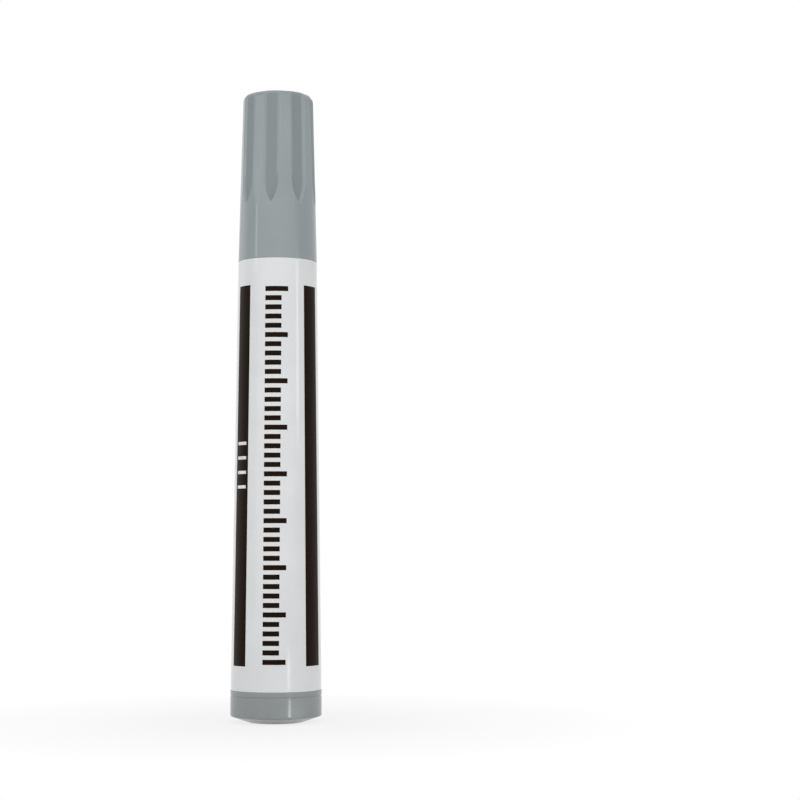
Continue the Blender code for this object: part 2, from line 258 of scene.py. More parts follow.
def dress(piece, material, body, slot, *nodes):
    """Gives a piece its material, the body that it moves with and the nodes that it stands for."""
    piece.data.materials.append(material)
    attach(piece, body)
    if nodes:
        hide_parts(*nodes)
    return piece


# Nodes of the materials
EVEN = (1.0, 1.0, 1.0)
NOISE_LOW = 0.3
NOISE_HIGH = 0.7


def shader_tree(name):
    """A new material, its node tree, its Principled shader and coordinates in metres."""
    material = bpy.data.materials.new(name)
    material.use_nodes = True
    tree = material.node_tree
    place = tree.nodes.new("ShaderNodeTexCoord").outputs["Object"]
    return material, tree, tree.nodes["Principled BSDF"], place


def noise(tree, place, scale, detail, stretch=EVEN):
    """A noise of this many features a metre. A stretch below 1 draws it out along that axis."""
    mapping = tree.nodes.new("ShaderNodeMapping")
    mapping.inputs["Scale"].default_value = stretch
    tree.links.new(place, mapping.inputs["Vector"])
    texture = tree.nodes.new("ShaderNodeTexNoise")
    texture.inputs["Scale"].default_value = scale
    texture.inputs["Detail"].default_value = detail
    tree.links.new(mapping.outputs["Vector"], texture.inputs["Vector"])
    return texture.outputs["Fac"]


def note(tree, name):
    """A number that the mesh carries on its points."""
    node = tree.nodes.new("ShaderNodeAttribute")
    node.attribute_name = name
    return node.outputs["Fac"]


def ramp(tree, value, low, high, first=0.0, last=1.0):
    """A value that goes from first to last as another goes from low to high, and no further."""
    node = tree.nodes.new("ShaderNodeMapRange")
    node.inputs["From Min"].default_value = low
    node.inputs["From Max"].default_value = high
    node.inputs["To Min"].default_value = first
    node.inputs["To Max"].default_value = last
    tree.links.new(value, node.inputs["Value"])
    return node.outputs["Result"]


def noise_ramp(tree, value, first=0.0, last=1.0):
    """A value that goes from first to last over the range that a noise mostly has."""
    return ramp(tree, value, NOISE_LOW, NOISE_HIGH, first, last)


def reckon(tree, operation, *values):
    """What a Math node makes of numbers and sockets."""
    node = tree.nodes.new("ShaderNodeMath")
    node.operation = operation
    for socket, value in zip(node.inputs, values):
        if isinstance(value, float):
            socket.default_value = value
        else:
            tree.links.new(value, socket)
    return node.outputs["Value"]


def mix_colour(tree, factor, first, second):
    """Two colours mixed by a factor; each is a colour or a socket."""
    node = tree.nodes.new("ShaderNodeMix")
    node.data_type = "RGBA"
    tree.links.new(factor, node.inputs["Factor"])
    for key, colour in (("A", first), ("B", second)):
        socket = next(s for s in node.inputs if s.name == key and s.type == "RGBA")
        if isinstance(colour, tuple):
            socket.default_value = (*colour, 1.0)
        else:
            tree.links.new(colour, socket)
    return next(s for s in node.outputs if s.type == "RGBA")


def bump(tree, shader, height, strength, distance):
    """Gives a shader a bump from a height."""
    node = tree.nodes.new("ShaderNodeBump")
    node.inputs["Strength"].default_value = strength
    node.inputs["Distance"].default_value = distance
    tree.links.new(height, node.inputs["Height"])
    tree.links.new(node.outputs["Normal"], shader.inputs["Normal"])


def tint(colour, share):
    """A colour made lighter or darker."""
    return tuple(min(1.0, channel * share) for channel in colour)


def two_tints(tree, factor, colour, shares):
    """A colour between its darker and its lighter tint."""
    return mix_colour(tree, factor, tint(colour, shares[0]), tint(colour, shares[1]))


# Moulded plastic
CLOUD_SCALE = 110.0
CLOUD_DETAIL = 4.0
CLOUD_TINTS = (0.965, 1.035)
# Painted shade in the recesses, and their extra roughness
PAINTED_SHADE_START = 0.6
PAINTED_SHADE_FULL = 0.9
PAINTED_SHADE_TINT = 0.86
RECESS_ROUGHNESS = 0.5
# Edges lighter as rubbed wear and as a painted highlight
WEAR_AND_HIGHLIGHT_START = 0.02
WEAR_AND_HIGHLIGHT_FULL = 0.08
WEAR_AND_HIGHLIGHT_SHARE = 0.35
WEAR_AND_HIGHLIGHT_TINT = 1.25
FLOW_SCALE = 900.0
FLOW_DETAIL = 3.0
FLOW_STRETCH = (1.0, 1.0, 0.05)
FLOW_SMOOTHEST = 0.85
FLOW_ROUGHEST = 1.15
SKIN_SCALE = 3500.0
SKIN_DETAIL = 2.0
SKIN_DEPTH = 0.02 * MM


def moulded(name, colour, roughness, grain, recessed=False):
    """Injection-moulded plastic: cloudy colour, drawn flow lines, fine grain, and edges made lighter as
    rubbed wear and as a painted highlight.

    A recessed piece is also duller in its recesses, and darker there with painted shade.
    """
    material, tree, shader, place = shader_tree(name)
    cloud = noise_ramp(tree, noise(tree, place, CLOUD_SCALE, CLOUD_DETAIL))
    body = two_tints(tree, cloud, colour, CLOUD_TINTS)
    flow = noise(tree, place, FLOW_SCALE, FLOW_DETAIL, FLOW_STRETCH)
    gloss = noise_ramp(tree, flow, roughness * FLOW_SMOOTHEST, roughness * FLOW_ROUGHEST)
    if recessed:
        # Painted shade: the recesses are darkened in colour where shade falls in them, and also made
        # rougher.
        painted_shade_and_dulling = ramp(tree, note(tree, RECESS), PAINTED_SHADE_START, PAINTED_SHADE_FULL)
        body = mix_colour(tree, painted_shade_and_dulling, body, tint(colour, PAINTED_SHADE_TINT))
        gloss = reckon(tree, "MULTIPLY_ADD", painted_shade_and_dulling, RECESS_ROUGHNESS, gloss)
    # Sharp edges are lightened, partly as rubbed wear and partly as a painted highlight.
    wear_and_highlight = ramp(tree, note(tree, EDGE), WEAR_AND_HIGHLIGHT_START, WEAR_AND_HIGHLIGHT_FULL, last=WEAR_AND_HIGHLIGHT_SHARE)
    worn_and_highlit = mix_colour(tree, wear_and_highlight, body, tint(colour, WEAR_AND_HIGHLIGHT_TINT))
    tree.links.new(worn_and_highlit, shader.inputs["Base Color"])
    tree.links.new(gloss, shader.inputs["Roughness"])
    bump(tree, shader, noise(tree, place, SKIN_SCALE, SKIN_DETAIL), grain, SKIN_DEPTH)
    return material


# Printed ink
FILM_SCALE = 1400.0
FILM_DETAIL = 5.0
FILM_THIN_START = 0.35
FILM_THIN_FULL = 0.75
FILM_THIN_TINT = 1.6
FILM_SMOOTHEST = 0.9
FILM_ROUGHEST = 1.2
FILM_SPECULAR = 0.055
FILM_BUMP = 0.1
FILM_DEPTH = 0.01 * MM


def printed(name, colour, roughness):
    """Screen-printed ink: nearly even colour with thin spots and a slightly rough film."""
    material, tree, shader, place = shader_tree(name)
    film = noise(tree, place, FILM_SCALE, FILM_DETAIL)
    thin = ramp(tree, film, FILM_THIN_START, FILM_THIN_FULL)
    patchy = mix_colour(tree, thin, colour, tint(colour, FILM_THIN_TINT))
    gloss = noise_ramp(tree, film, roughness * FILM_SMOOTHEST, roughness * FILM_ROUGHEST)
    tree.links.new(patchy, shader.inputs["Base Color"])
    tree.links.new(gloss, shader.inputs["Roughness"])
    shader.inputs["Specular IOR Level"].default_value = FILM_SPECULAR
    bump(tree, shader, film, FILM_BUMP, FILM_DEPTH)
    return material


# Felt
STRAND_SCALE = 7000.0
STRAND_DETAIL = 3.0
STRAND_STRETCH = (1.0, 1.0, 0.08)
STRAND_DRY_TINTS = (0.8, 1.1)
STRAND_WET_TINTS = (0.85, 1.15)
STRAND_BUMP = 0.6
STRAND_DEPTH = 0.06 * MM
SOAKED_LEAST = 0.35
SOAKED_TIP = 3.0 * MM
FELT_ROUGHNESS = 0.92
FELT_SHEEN = 0.25


def felt(name, fibre, ink):
    """Bonded fibre that runs along the nib, soaked with ink towards its tip."""
    material, tree, shader, place = shader_tree(name)
    strands = noise(tree, place, STRAND_SCALE, STRAND_DETAIL, STRAND_STRETCH)
    lines = noise_ramp(tree, strands)
    dry = two_tints(tree, lines, fibre, STRAND_DRY_TINTS)
    wet = two_tints(tree, lines, ink, STRAND_WET_TINTS)
    axes = tree.nodes.new("ShaderNodeSeparateXYZ")
    tree.links.new(place, axes.inputs["Vector"])
    soaked = ramp(tree, axes.outputs["Z"], NOSE_TIP, NIB_TIP - SOAKED_TIP, first=SOAKED_LEAST)
    tree.links.new(mix_colour(tree, soaked, dry, wet), shader.inputs["Base Color"])
    shader.inputs["Roughness"].default_value = FELT_ROUGHNESS
    shader.inputs["Sheen Weight"].default_value = FELT_SHEEN
    bump(tree, shader, strands, STRAND_BUMP, STRAND_DEPTH)
    return material


# Steel
POLISH_SCALE = 2500.0
POLISH_DETAIL = 3.0
POLISH_TINTS = (0.9, 1.08)
POLISH_SMOOTHEST = 0.8
POLISH_ROUGHEST = 1.3
POLISH_BUMP = 0.08
POLISH_DEPTH = 0.01 * MM


def steel(name, colour, roughness, stretch=EVEN):
    """Stainless steel with fine drawing or polishing marks."""
    material, tree, shader, place = shader_tree(name)
    marks = noise(tree, place, POLISH_SCALE, POLISH_DETAIL, stretch)
    body = two_tints(tree, noise_ramp(tree, marks), colour, POLISH_TINTS)
    gloss = noise_ramp(tree, marks, roughness * POLISH_SMOOTHEST, roughness * POLISH_ROUGHEST)
    tree.links.new(body, shader.inputs["Base Color"])
    tree.links.new(gloss, shader.inputs["Roughness"])
    shader.inputs["Metallic"].default_value = 1.0
    bump(tree, shader, marks, POLISH_BUMP, POLISH_DEPTH)
    return material


CAP_COLOUR = (0.285, 0.325, 0.335)
PLUG_COLOUR = (0.272, 0.294, 0.296)
BARREL_COLOUR = (0.765, 0.775, 0.785)
NATURAL_COLOUR = (0.70, 0.71, 0.69)
SECTION_COLOUR = (0.70, 0.71, 0.71)
RUBBER_COLOUR = (0.03, 0.03, 0.03)
FELT_COLOUR = (0.62, 0.61, 0.58)
INK_COLOUR = (0.24, 0.26, 0.265)
BLACK_COLOUR = (0.0085, 0.0030, 0.0005)
WHITE_COLOUR = (0.75, 0.75, 0.75)
STEEL_COLOUR = (0.60, 0.60, 0.61)

cap_plastic = moulded("cap_plastic", CAP_COLOUR, roughness=0.17, grain=0.10, recessed=True)
plug_plastic = moulded("plug_plastic", PLUG_COLOUR, roughness=0.20, grain=0.10)
barrel_plastic = moulded("barrel_plastic", BARREL_COLOUR, roughness=0.12, grain=0.03)
natural_plastic = moulded("natural_plastic", NATURAL_COLOUR, roughness=0.42, grain=0.15)
section_plastic = moulded("section_plastic", SECTION_COLOUR, roughness=0.36, grain=0.12)
seat_rubber = moulded("seat_rubber", RUBBER_COLOUR, roughness=0.75, grain=0.30)
nib_felt = felt("nib_felt", FELT_COLOUR, INK_COLOUR)
black_ink = printed("black_ink", BLACK_COLOUR, roughness=0.34)
white_ink = printed("white_ink", WHITE_COLOUR, roughness=0.40)
spring_steel = steel("spring_steel", STEEL_COLOUR, roughness=0.25)
ball_steel = steel("ball_steel", STEEL_COLOUR, roughness=0.14, stretch=(1.0, 0.3, 1.0))


# Cap
CAP_TAPER = 0.8 * MM
CAP_TOP_ROUND = 1.0 * MM
CAP_HEM = 2.0 * MM
CAP_STEP = LINER_MOUTH
CAP_SKIRT_BORE = MOUTH_RADIUS - CAP_SKIRT_WALL
CAP_LINER_BORE = LINER_RADIUS + PRESS_GAP
CROWN_STEPS = 24
CROWN_SHARES = (0.45, 0.7, 0.9)
GATE_RADIUS = 1.2 * MM
GATE_DEPTH = 0.15 * MM
GATE_INNER = GATE_RADIUS * 0.5
GATE_RIM = GATE_RADIUS * 1.5
FLUTE_COUNT = 8
FLUTE_PHASE = math.radians(-11.0)
FLUTE_PITCH = FULL_TURN / FLUTE_COUNT
FLUTE_WIDTH = 3.4 * MM
FLUTE_DEPTH = 0.52 * MM
FLUTE_WALL_SLOPE = math.tan(math.radians(23.5))
FLUTE_TIP_SLOPE = math.tan(math.radians(48.0))
FLUTE_LENGTH = 21.7 * MM
FLUTE_RUNOUT = 5.9 * MM
FLUTE_RUNOUT_POWER = 0.8
FLUTE_SOFTNESS = 0.05 * MM
FLUTE_FOOT = CAP_TOP - FLUTE_LENGTH
FLUTE_STRAIGHT = FLUTE_FOOT + FLUTE_RUNOUT
FLUTE_ROW = 0.18 * MM
FLUTE_ROWS_REACH = 1.25 * FLUTE_RUNOUT
FLUTE_ROWS = round(FLUTE_ROWS_REACH / FLUTE_ROW)


def cap_side(height):
    """The cap's tapered radius, without its flutes and its rounded top edge."""
    return MOUTH_RADIUS - CAP_TAPER * (height - CAP_MOUTH) / (CAP_TOP - CAP_MOUTH)


def cap_profile(height):
    """The cap's radius between its flutes, with the rounded top edge."""
    up = max(0.0, height - (CAP_TOP - CAP_TOP_ROUND))
    return cap_side(height) - CAP_TOP_ROUND + math.sqrt(max(0.0, CAP_TOP_ROUND**2 - up**2))


def soft_least(a, b, softness):
    """The lesser of two numbers, rounded where they are close."""
    share = max(0.0, min(1.0, 0.5 + 0.5 * (b - a) / softness))
    return b + (a - b) * share - softness * share * (1.0 - share)


def fluted(height):
    """The cap's outline at a height, as a function of the angle.

    A flute has a flat floor and two sloped walls. It draws in to a point at its lower end, where its walls
    are steeper. The lands between the flutes are flat.
    """
    side = cap_profile(height)
    below = max(0.0, FLUTE_STRAIGHT - height) / FLUTE_RUNOUT
    if below >= 1.0:
        return lambda angle: side
    full = cap_side(height)
    open_share = (1.0 - below**2) ** FLUTE_RUNOUT_POWER
    slope = FLUTE_WALL_SLOPE + (FLUTE_TIP_SLOPE - FLUTE_WALL_SLOPE) * below
    half = FLUTE_WIDTH / 2 * open_share
    edge = math.sqrt(full**2 - half**2)
    land_half = FLUTE_PITCH / 2 - math.asin(FLUTE_WIDTH / 2 / full)
    land = side - full * (1.0 - math.cos(land_half)) * open_share

    def outline(angle):
        turned = abs((angle - FLUTE_PHASE + FLUTE_PITCH / 2) % FLUTE_PITCH - FLUTE_PITCH / 2)
        floor = (full - FLUTE_DEPTH) / math.cos(turned)
        wall_fall = math.cos(turned) - slope * math.sin(turned)
        wall = (edge - half * slope) / wall_fall
        groove = -soft_least(-floor, -wall, FLUTE_SOFTNESS)
        flat = land / math.cos(FLUTE_PITCH / 2 - turned)
        return soft_least(soft_least(side, flat, FLUTE_SOFTNESS), groove, FLUTE_SOFTNESS)

    return outline


def shrunk(outline, share, round_part):
    """An outline shrunk towards a circle."""
    return lambda angle: outline(angle) * share + round_part


def mark_recess(cap):
    """Notes on each point of the cap how far it lies down in a flute, as a share of the depth."""
    recess = cap.data.attributes.new(RECESS, "FLOAT", "POINT")
    for vertex, value in zip(cap.data.vertices, recess.data):
        x, y, height = vertex.co
        outside = math.hypot(x, y) > CAP_LINER_BORE + CAP_TOP_ROUND / 2
        if outside and FLUTE_FOOT < height < CAP_TOP:
            value.value = (cap_profile(height) - fluted(height)(math.atan2(x, -y))) / FLUTE_DEPTH


def make_cap():
    """The fluted cap, open below, with the liner's bore inside and a gate mark in its top."""
    gate_floor = CAP_TOP - GATE_DEPTH
    rows = [(0.0, gate_floor)]
    rows += profile([
        (GATE_INNER, gate_floor, 0.0),
        (GATE_RADIUS, gate_floor, ROUND_CRISP),
        (GATE_RADIUS, CAP_TOP, ROUND_CRISP),
        (GATE_RIM, CAP_TOP, 0.0),
    ])
    crown = fluted(CAP_TOP)
    for share in CROWN_SHARES:
        rows.append((shrunk(crown, share, GATE_RIM * (1.0 - share)), CAP_TOP))
    heights = []
    for step in range(CROWN_STEPS + 1):
        heights.append(CAP_TOP - CAP_TOP_ROUND * (1.0 - math.cos(QUARTER_TURN * step / CROWN_STEPS)))
    side_top = CAP_TOP - CAP_TOP_ROUND
    heights += [side_top - SUPPORT, (side_top + FLUTE_STRAIGHT) / 2, FLUTE_STRAIGHT]
    heights += [FLUTE_STRAIGHT - FLUTE_ROW * step for step in range(1, FLUTE_ROWS + 1)]
    rows += [(fluted(height), height) for height in heights]
    hem = CAP_MOUTH + CAP_HEM
    ceiling = CAP_TOP - CAP_TOP_WALL
    rows += profile([
        (cap_side(hem), hem, 0.0),
        (MOUTH_RADIUS, CAP_MOUTH, ROUND_HAIR),
        (CAP_SKIRT_BORE, CAP_MOUTH, ROUND_MILD),
        (CAP_SKIRT_BORE, CAP_STEP, ROUND_EASED),
        (CAP_LINER_BORE, CAP_STEP, ROUND_CRISP),
        (CAP_LINER_BORE, ceiling, ROUND_CRISP),
        (0.0, ceiling, 0.0),
    ])
    cap = turn("cap", rows, CAP_SEGMENTS)
    mark_recess(cap)
    return cap


def make_liner():
    """The inner cap that seals over the nose."""
    bore = LINER_RADIUS - LINER_WALL
    ceiling = LINER_TOP - LINER_CEILING
    rows = profile([
        (0.0, LINER_TOP, 0.0),
        (LINER_RADIUS, LINER_TOP, ROUND_MILD),
        (LINER_RADIUS, LINER_MOUTH, ROUND_CRISP),
        (bore, LINER_MOUTH, ROUND_SOFT),
        (bore, ceiling, ROUND_WIDE),
        (0.0, ceiling, 0.0),
    ])
    return turn("inner_cap", rows, INNER_SEGMENTS)


# Barrel
BARREL_EDGE_ROUND = 0.08 * MM
BEAD_WIDTH = 1.0 * MM
BEAD_SHARE = 0.5


def barrel_side(height):
    """The barrel's radius, which tapers from its tail to its shoulder."""
    return TAIL_RADIUS + (MOUTH_RADIUS - TAIL_RADIUS) * (height - BARREL_TAIL) / (SHOULDER - BARREL_TAIL)


def make_barrel():
    """The tapered barrel with its neck, which has a bead for the cap."""
    bead = (SHOULDER + NECK_TOP) / 2
    bore_end = SHOULDER - SHOULDER_WALL
    neck_bore = NECK_RADIUS - NECK_WALL
    rows = profile([
        (NECK_RADIUS, NECK_TOP, ROUND_TRIM),
        (NECK_RADIUS, bead + BEAD_WIDTH / 2, ROUND_SOFT),
        (NECK_RADIUS + SLIDE_GAP * BEAD_SHARE, bead, ROUND_SOFT),
        (NECK_RADIUS, bead - BEAD_WIDTH / 2, ROUND_SOFT),
        (NECK_RADIUS, SHOULDER, ROUND_EASED),
        (MOUTH_RADIUS, SHOULDER, BARREL_EDGE_ROUND),
        (TAIL_RADIUS, BARREL_TAIL, BARREL_EDGE_ROUND),
        (TAIL_RADIUS - BARREL_WALL, BARREL_TAIL, BARREL_EDGE_ROUND),
        (barrel_side(bore_end) - BARREL_WALL, bore_end, ROUND_WIDE),
        (neck_bore, bore_end, ROUND_EASED),
        (neck_bore, NECK_TOP, ROUND_TRIM),
    ], ring=True)
    return turn("barrel_tube", rows, OUTER_SEGMENTS, ring=True)


# End plug
PLUG_TOP = BARREL_TAIL - SEAM
PLUG_FOOT_RADIUS = 5.1 * MM
PLUG_CHAMFER = 1.2 * MM
PLUG_EDGE_ROUND = 0.35 * MM
PLUG_GROOVE_DROP = 0.9 * MM
PLUG_GROOVE_WIDTH = 0.3 * MM
PLUG_GROOVE_DEPTH = 0.1 * MM
PLUG_WALL = 1.0 * MM
PLUG_FLOOR = 1.6 * MM
PLUG_RIB_COUNT = 2
PLUG_RIB_HEIGHT = 0.25 * MM
PLUG_RIB_WIDTH = 0.6 * MM


def make_plug():
    """The end plug: a chamfered foot with a fine groove near its top, and a ribbed cup in the barrel."""
    sunk = BARREL_WALL + PRESS_GAP + PLUG_RIB_HEIGHT
    insert = PLUG_INSERT_TOP - BARREL_TAIL
    insert_top_radius = barrel_side(PLUG_INSERT_TOP) - sunk
    cup = insert_top_radius - PLUG_WALL
    cup_floor = PLUG_FOOT + PLUG_FLOOR
    groove = PLUG_RADIUS - PLUG_GROOVE_DEPTH
    groove_top = PLUG_TOP - PLUG_GROOVE_DROP
    groove_foot = groove_top - PLUG_GROOVE_WIDTH
    corners = [
        (0.0, cup_floor, 0.0),
        (cup, cup_floor, ROUND_FULL),
        (cup, PLUG_INSERT_TOP, ROUND_EASED),
        (insert_top_radius, PLUG_INSERT_TOP, ROUND_SOFT),
    ]
    for rib in range(PLUG_RIB_COUNT):
        middle = PLUG_INSERT_TOP - insert * (rib + 1) / (PLUG_RIB_COUNT + 1)
        top = middle + PLUG_RIB_WIDTH / 2
        foot = middle - PLUG_RIB_WIDTH / 2
        corners += [
            (barrel_side(top) - sunk, top, ROUND_CRISP),
            (barrel_side(middle) - sunk + PLUG_RIB_HEIGHT, middle, ROUND_EASED),
            (barrel_side(foot) - sunk, foot, ROUND_CRISP),
        ]
    corners += [
        (barrel_side(PLUG_TOP) - sunk, PLUG_TOP, ROUND_CRISP),
        (PLUG_RADIUS, PLUG_TOP, ROUND_KEEN),
        (PLUG_RADIUS, groove_top, ROUND_CRISP),
        (groove, groove_top, ROUND_HAIR),
        (groove, groove_foot, ROUND_HAIR),
        (PLUG_RADIUS, groove_foot, ROUND_KEEN),
        (PLUG_RADIUS, PLUG_FOOT + PLUG_CHAMFER, PLUG_EDGE_ROUND),
        (PLUG_FOOT_RADIUS, PLUG_FOOT, ROUND_WIDE),
        (0.0, PLUG_FOOT, 0.0),
    ]
    return turn("plug", profile(corners), OUTER_SEGMENTS)


# Front section
FLANGE_THICKNESS = 1.4 * MM
NOSE_LENGTH = 5.5 * MM
NOSE_WALL = 1.5 * MM
NOSE_TIP_WALL = 0.7 * MM
NOSE_ROUND = 1.2 * MM
SPIGOT_WALL = 0.9 * MM
CEILING_DEPTH = 3.0 * MM


def make_section():
    """The nose that guides the nib, its flange on the neck and the spigot that holds the valve."""
    flange = NECK_TOP + SEAT_GAP
    flange_top = flange + FLANGE_THICKNESS
    spigot = NECK_RADIUS - NECK_WALL - PRESS_GAP
    chamber = spigot - SPIGOT_WALL
    nib_bore = NIB_RADIUS + SLIDE_GAP
    nose = nib_bore + NOSE_WALL
    ceiling = NECK_TOP - CEILING_DEPTH
    rows = profile([
        (nib_bore + NOSE_TIP_WALL, NOSE_TIP, ROUND_SOFT),
        (nose, flange_top + NOSE_LENGTH, NOSE_ROUND),
        (nose, flange_top, ROUND_FULL),
        (FLANGE_RADIUS, flange_top, ROUND_SOFT),
        (FLANGE_RADIUS, flange, ROUND_CRISP),
        (spigot, flange, ROUND_CRISP),
        (spigot, SPIGOT_END, ROUND_EASED),
        (chamber, SPIGOT_END, ROUND_EASED),
        (chamber, ceiling, ROUND_CRISP),
        (nib_bore, ceiling, ROUND_CRISP),
        (nib_bore, NOSE_TIP, ROUND_EASED),
    ], ring=True)
    return turn("nose_section", rows, INNER_SEGMENTS, ring=True)


# Nib
NIB_TIP_LENGTH = 3.6 * MM
NIB_TIP_STEPS = 18
NIB_BAND = 1.0 * MM


def make_nib():
    """The fibre nib, a bullet with a softened rear edge."""
    base = NIB_TIP - NIB_TIP_LENGTH
    rows = []
    for step in range(NIB_TIP_STEPS + 1):
        angle = QUARTER_TURN * step / NIB_TIP_STEPS
        rows.append((NIB_RADIUS * math.sin(angle), base + NIB_TIP_LENGTH * math.cos(angle)))
    rows += profile([
        (NIB_RADIUS, base - NIB_BAND, 0.0),
        (NIB_RADIUS, NIB_REAR, ROUND_EASED),
        (0.0, NIB_REAR, 0.0),
    ])
    return turn("felt_nib", rows, INNER_SEGMENTS)


# Valve
STEM_RADIUS = 1.1 * MM
STEM_TAIL_RADIUS = 0.9 * MM
HEAD_THICKNESS = 1.2 * MM
CAGE_WALL = 0.8 * MM
CAGE_FLOOR = 1.0 * MM
WINDOW_HEIGHT = 3.5 * MM
WINDOW_WIDTH = 2.2 * MM
WINDOW_SILL = 0.5 * MM
WINDOW_REACH = 4 * CAGE_RADIUS
SPRING_WIRE = 0.4 * MM
SPRING_TURNS = 8
SPRING_POINTS = 28
WIRE_FINENESS = 4
MERGE_DISTANCE = 0.001 * MM
BALL_FINENESS = 5


def make_valve_seat():
    """The soft ring that the valve head closes against."""
    bore = STEM_RADIUS + FLOW_GAP
    rows = profile([
        (SEAT_RADIUS, SEAT_TOP, ROUND_EASED),
        (SEAT_RADIUS, SEAT_FACE, ROUND_EASED),
        (bore, SEAT_FACE, ROUND_MILD),
        (bore, SEAT_TOP, ROUND_MILD),
    ], ring=True)
    return turn("seal_ring", rows, INNER_SEGMENTS, ring=True)


def make_valve_stem():
    """The rod that the nib pushes, with its sealing head and the tail inside the spring."""
    head = SEAT_FACE - SEAT_GAP
    back = head - HEAD_THICKNESS
    rows = profile([
        (0.0, STEM_TOP, 0.0),
        (STEM_RADIUS, STEM_TOP, ROUND_EASED),
        (STEM_RADIUS, head, ROUND_EASED),
        (HEAD_RADIUS, head, ROUND_SOFT),
        (HEAD_RADIUS, back, ROUND_EASED),
        (STEM_TAIL_RADIUS, back, ROUND_CRISP),
        (STEM_TAIL_RADIUS, STEM_END, ROUND_SOFT),
        (0.0, STEM_END, 0.0),
    ])
    return turn("stem", rows, INNER_SEGMENTS)


def cut_window(cage, size, middle):
    """Cuts a box of this width and depth through both sides of the cage."""
    shape = bmesh.new()
    bmesh.ops.create_cube(shape, size=1.0)
    bmesh.ops.scale(shape, vec=(*size, WINDOW_HEIGHT), verts=shape.verts)
    bmesh.ops.translate(shape, vec=(0.0, 0.0, middle), verts=shape.verts)
    cutter = add("window", worked_mesh("window", shape))
    boolean = cage.modifiers.new("window", "BOOLEAN")
    boolean.operation = "DIFFERENCE"
    boolean.object = cutter
    mesh = evaluated_mesh(cage)
    cage.modifiers.clear()
    cage.data = mesh
    bpy.data.objects.remove(cutter, do_unlink=True)


def make_valve_cage():
    """The cup behind the seat, with its four ink windows."""
    bore = CAGE_RADIUS - CAGE_WALL
    floor = CAGE_FOOT + CAGE_FLOOR
    hole = STEM_TAIL_RADIUS + SLIDE_GAP
    rows = profile([
        (CAGE_RADIUS, CAGE_TOP, ROUND_TRIM),
        (CAGE_RADIUS, CAGE_FOOT, ROUND_SOFT),
        (hole, CAGE_FOOT, ROUND_CRISP),
        (hole, floor, ROUND_CRISP),
        (bore, floor, ROUND_EASED),
        (bore, CAGE_TOP, ROUND_TRIM),
    ], ring=True)
    cage = turn("cage", rows, INNER_SEGMENTS, ring=True)
    middle = floor + WINDOW_SILL + WINDOW_HEIGHT / 2
    cut_window(cage, (WINDOW_WIDTH, WINDOW_REACH), middle)
    cut_window(cage, (WINDOW_REACH, WINDOW_WIDTH), middle)
    cage.data.set_sharp_from_angle(angle=SHARP_ANGLE)
    mark_edges(cage.data)
    return cage


def make_spring():
    """The return spring: a helix of round wire, as a mesh."""
    count = SPRING_TURNS * SPRING_POINTS
    coil = SPRING_RADIUS - SPRING_WIRE / 2
    rise = SPRING_TOP - SPRING_FOOT - SPRING_WIRE
    curve = bpy.data.curves.new("spring", "CURVE")
    curve.dimensions = "3D"
    curve.bevel_depth = SPRING_WIRE / 2
    curve.bevel_resolution = WIRE_FINENESS
    curve.use_fill_caps = True
    spline = curve.splines.new("POLY")
    spline.points.add(count)
    for index, point in enumerate(spline.points):
        angle = FULL_TURN * index / SPRING_POINTS
        height = SPRING_FOOT + SPRING_WIRE / 2 + rise * index / count
        point.co = (coil * math.cos(angle), coil * math.sin(angle), height, 1.0)
    wire = add("spring_wire", curve)
    mesh = evaluated_mesh(wire)
    bpy.data.objects.remove(wire, do_unlink=True)
    shape = bmesh.new()
    shape.from_mesh(mesh)
    bmesh.ops.remove_doubles(shape, verts=shape.verts, dist=MERGE_DISTANCE)
    shape.to_mesh(mesh)
    shape.free()
    mesh.shade_smooth()
    return add("return_spring", mesh)


def make_ball():
    """The steel mixing ball."""
    shape = bmesh.new()
    bmesh.ops.create_icosphere(shape, subdivisions=BALL_FINENESS, radius=BALL_RADIUS)
    bmesh.ops.translate(shape, vec=(0.0, 0.0, (BALL_FOOT + BALL_TOP) / 2), verts=shape.verts)
    mesh = worked_mesh("steel_ball", shape)
    mesh.shade_smooth()
    return add("steel_ball", mesh)


# Print
PRINT_FOOT = 10.8 * MM
PRINT_TOP = 82.5 * MM
PRINT_LIFT = 0.02 * MM
PRINT_SINK = 0.02 * MM
PRINT_STEP = math.radians(1.5)
BAND_INNER_LEFT = math.radians(-42.5)
BAND_INNER_RIGHT = math.radians(40.6)
BAND_OUTER = math.radians(69.0)
SCALE_START = math.radians(-17.5)
SCALE_FOOT = 11.2 * MM
SCALE_TOP = 82.1 * MM
TICK_COUNT = 41
TICK_LONG_EVERY = 5
TICK_LONG = 4.35 * MM
TICK_SHORT = 3.1 * MM
TICK_WIDTH = 0.95 * MM
MARK_FOOT = 44.0 * MM
MARK_TOP = 52.8 * MM
MARK_COUNT = 4
MARK_WIDTH = 0.6 * MM
MARK_INNER = math.radians(-46.0)
MARK_OUTER = math.radians(-65.0)
MARK_LIFT = 2 * PRINT_LIFT


def ink_patch(shape, start, end, foot, top, lift):
    """Adds a thin closed slab of ink that follows the barrel between two angles and two heights."""
    section = ((foot, -PRINT_SINK), (foot, lift), (top, lift), (top, -PRINT_SINK))
    steps = max(2, math.ceil((end - start) / PRINT_STEP))
    columns = []
    for step in range(steps + 1):
        angle = start + (end - start) * step / steps
        column = []
        for height, proud in section:
            column.append(shape.verts.new(around(barrel_side(height) + proud, angle, height)))
        columns.append(column)
    for left, right in zip(columns, columns[1:]):
        for index in range(len(section)):
            after = (index + 1) % len(section)
            shape.faces.new((left[index], right[index], right[after], left[after]))
    shape.faces.new(columns[0])
    shape.faces.new(reversed(columns[-1]))


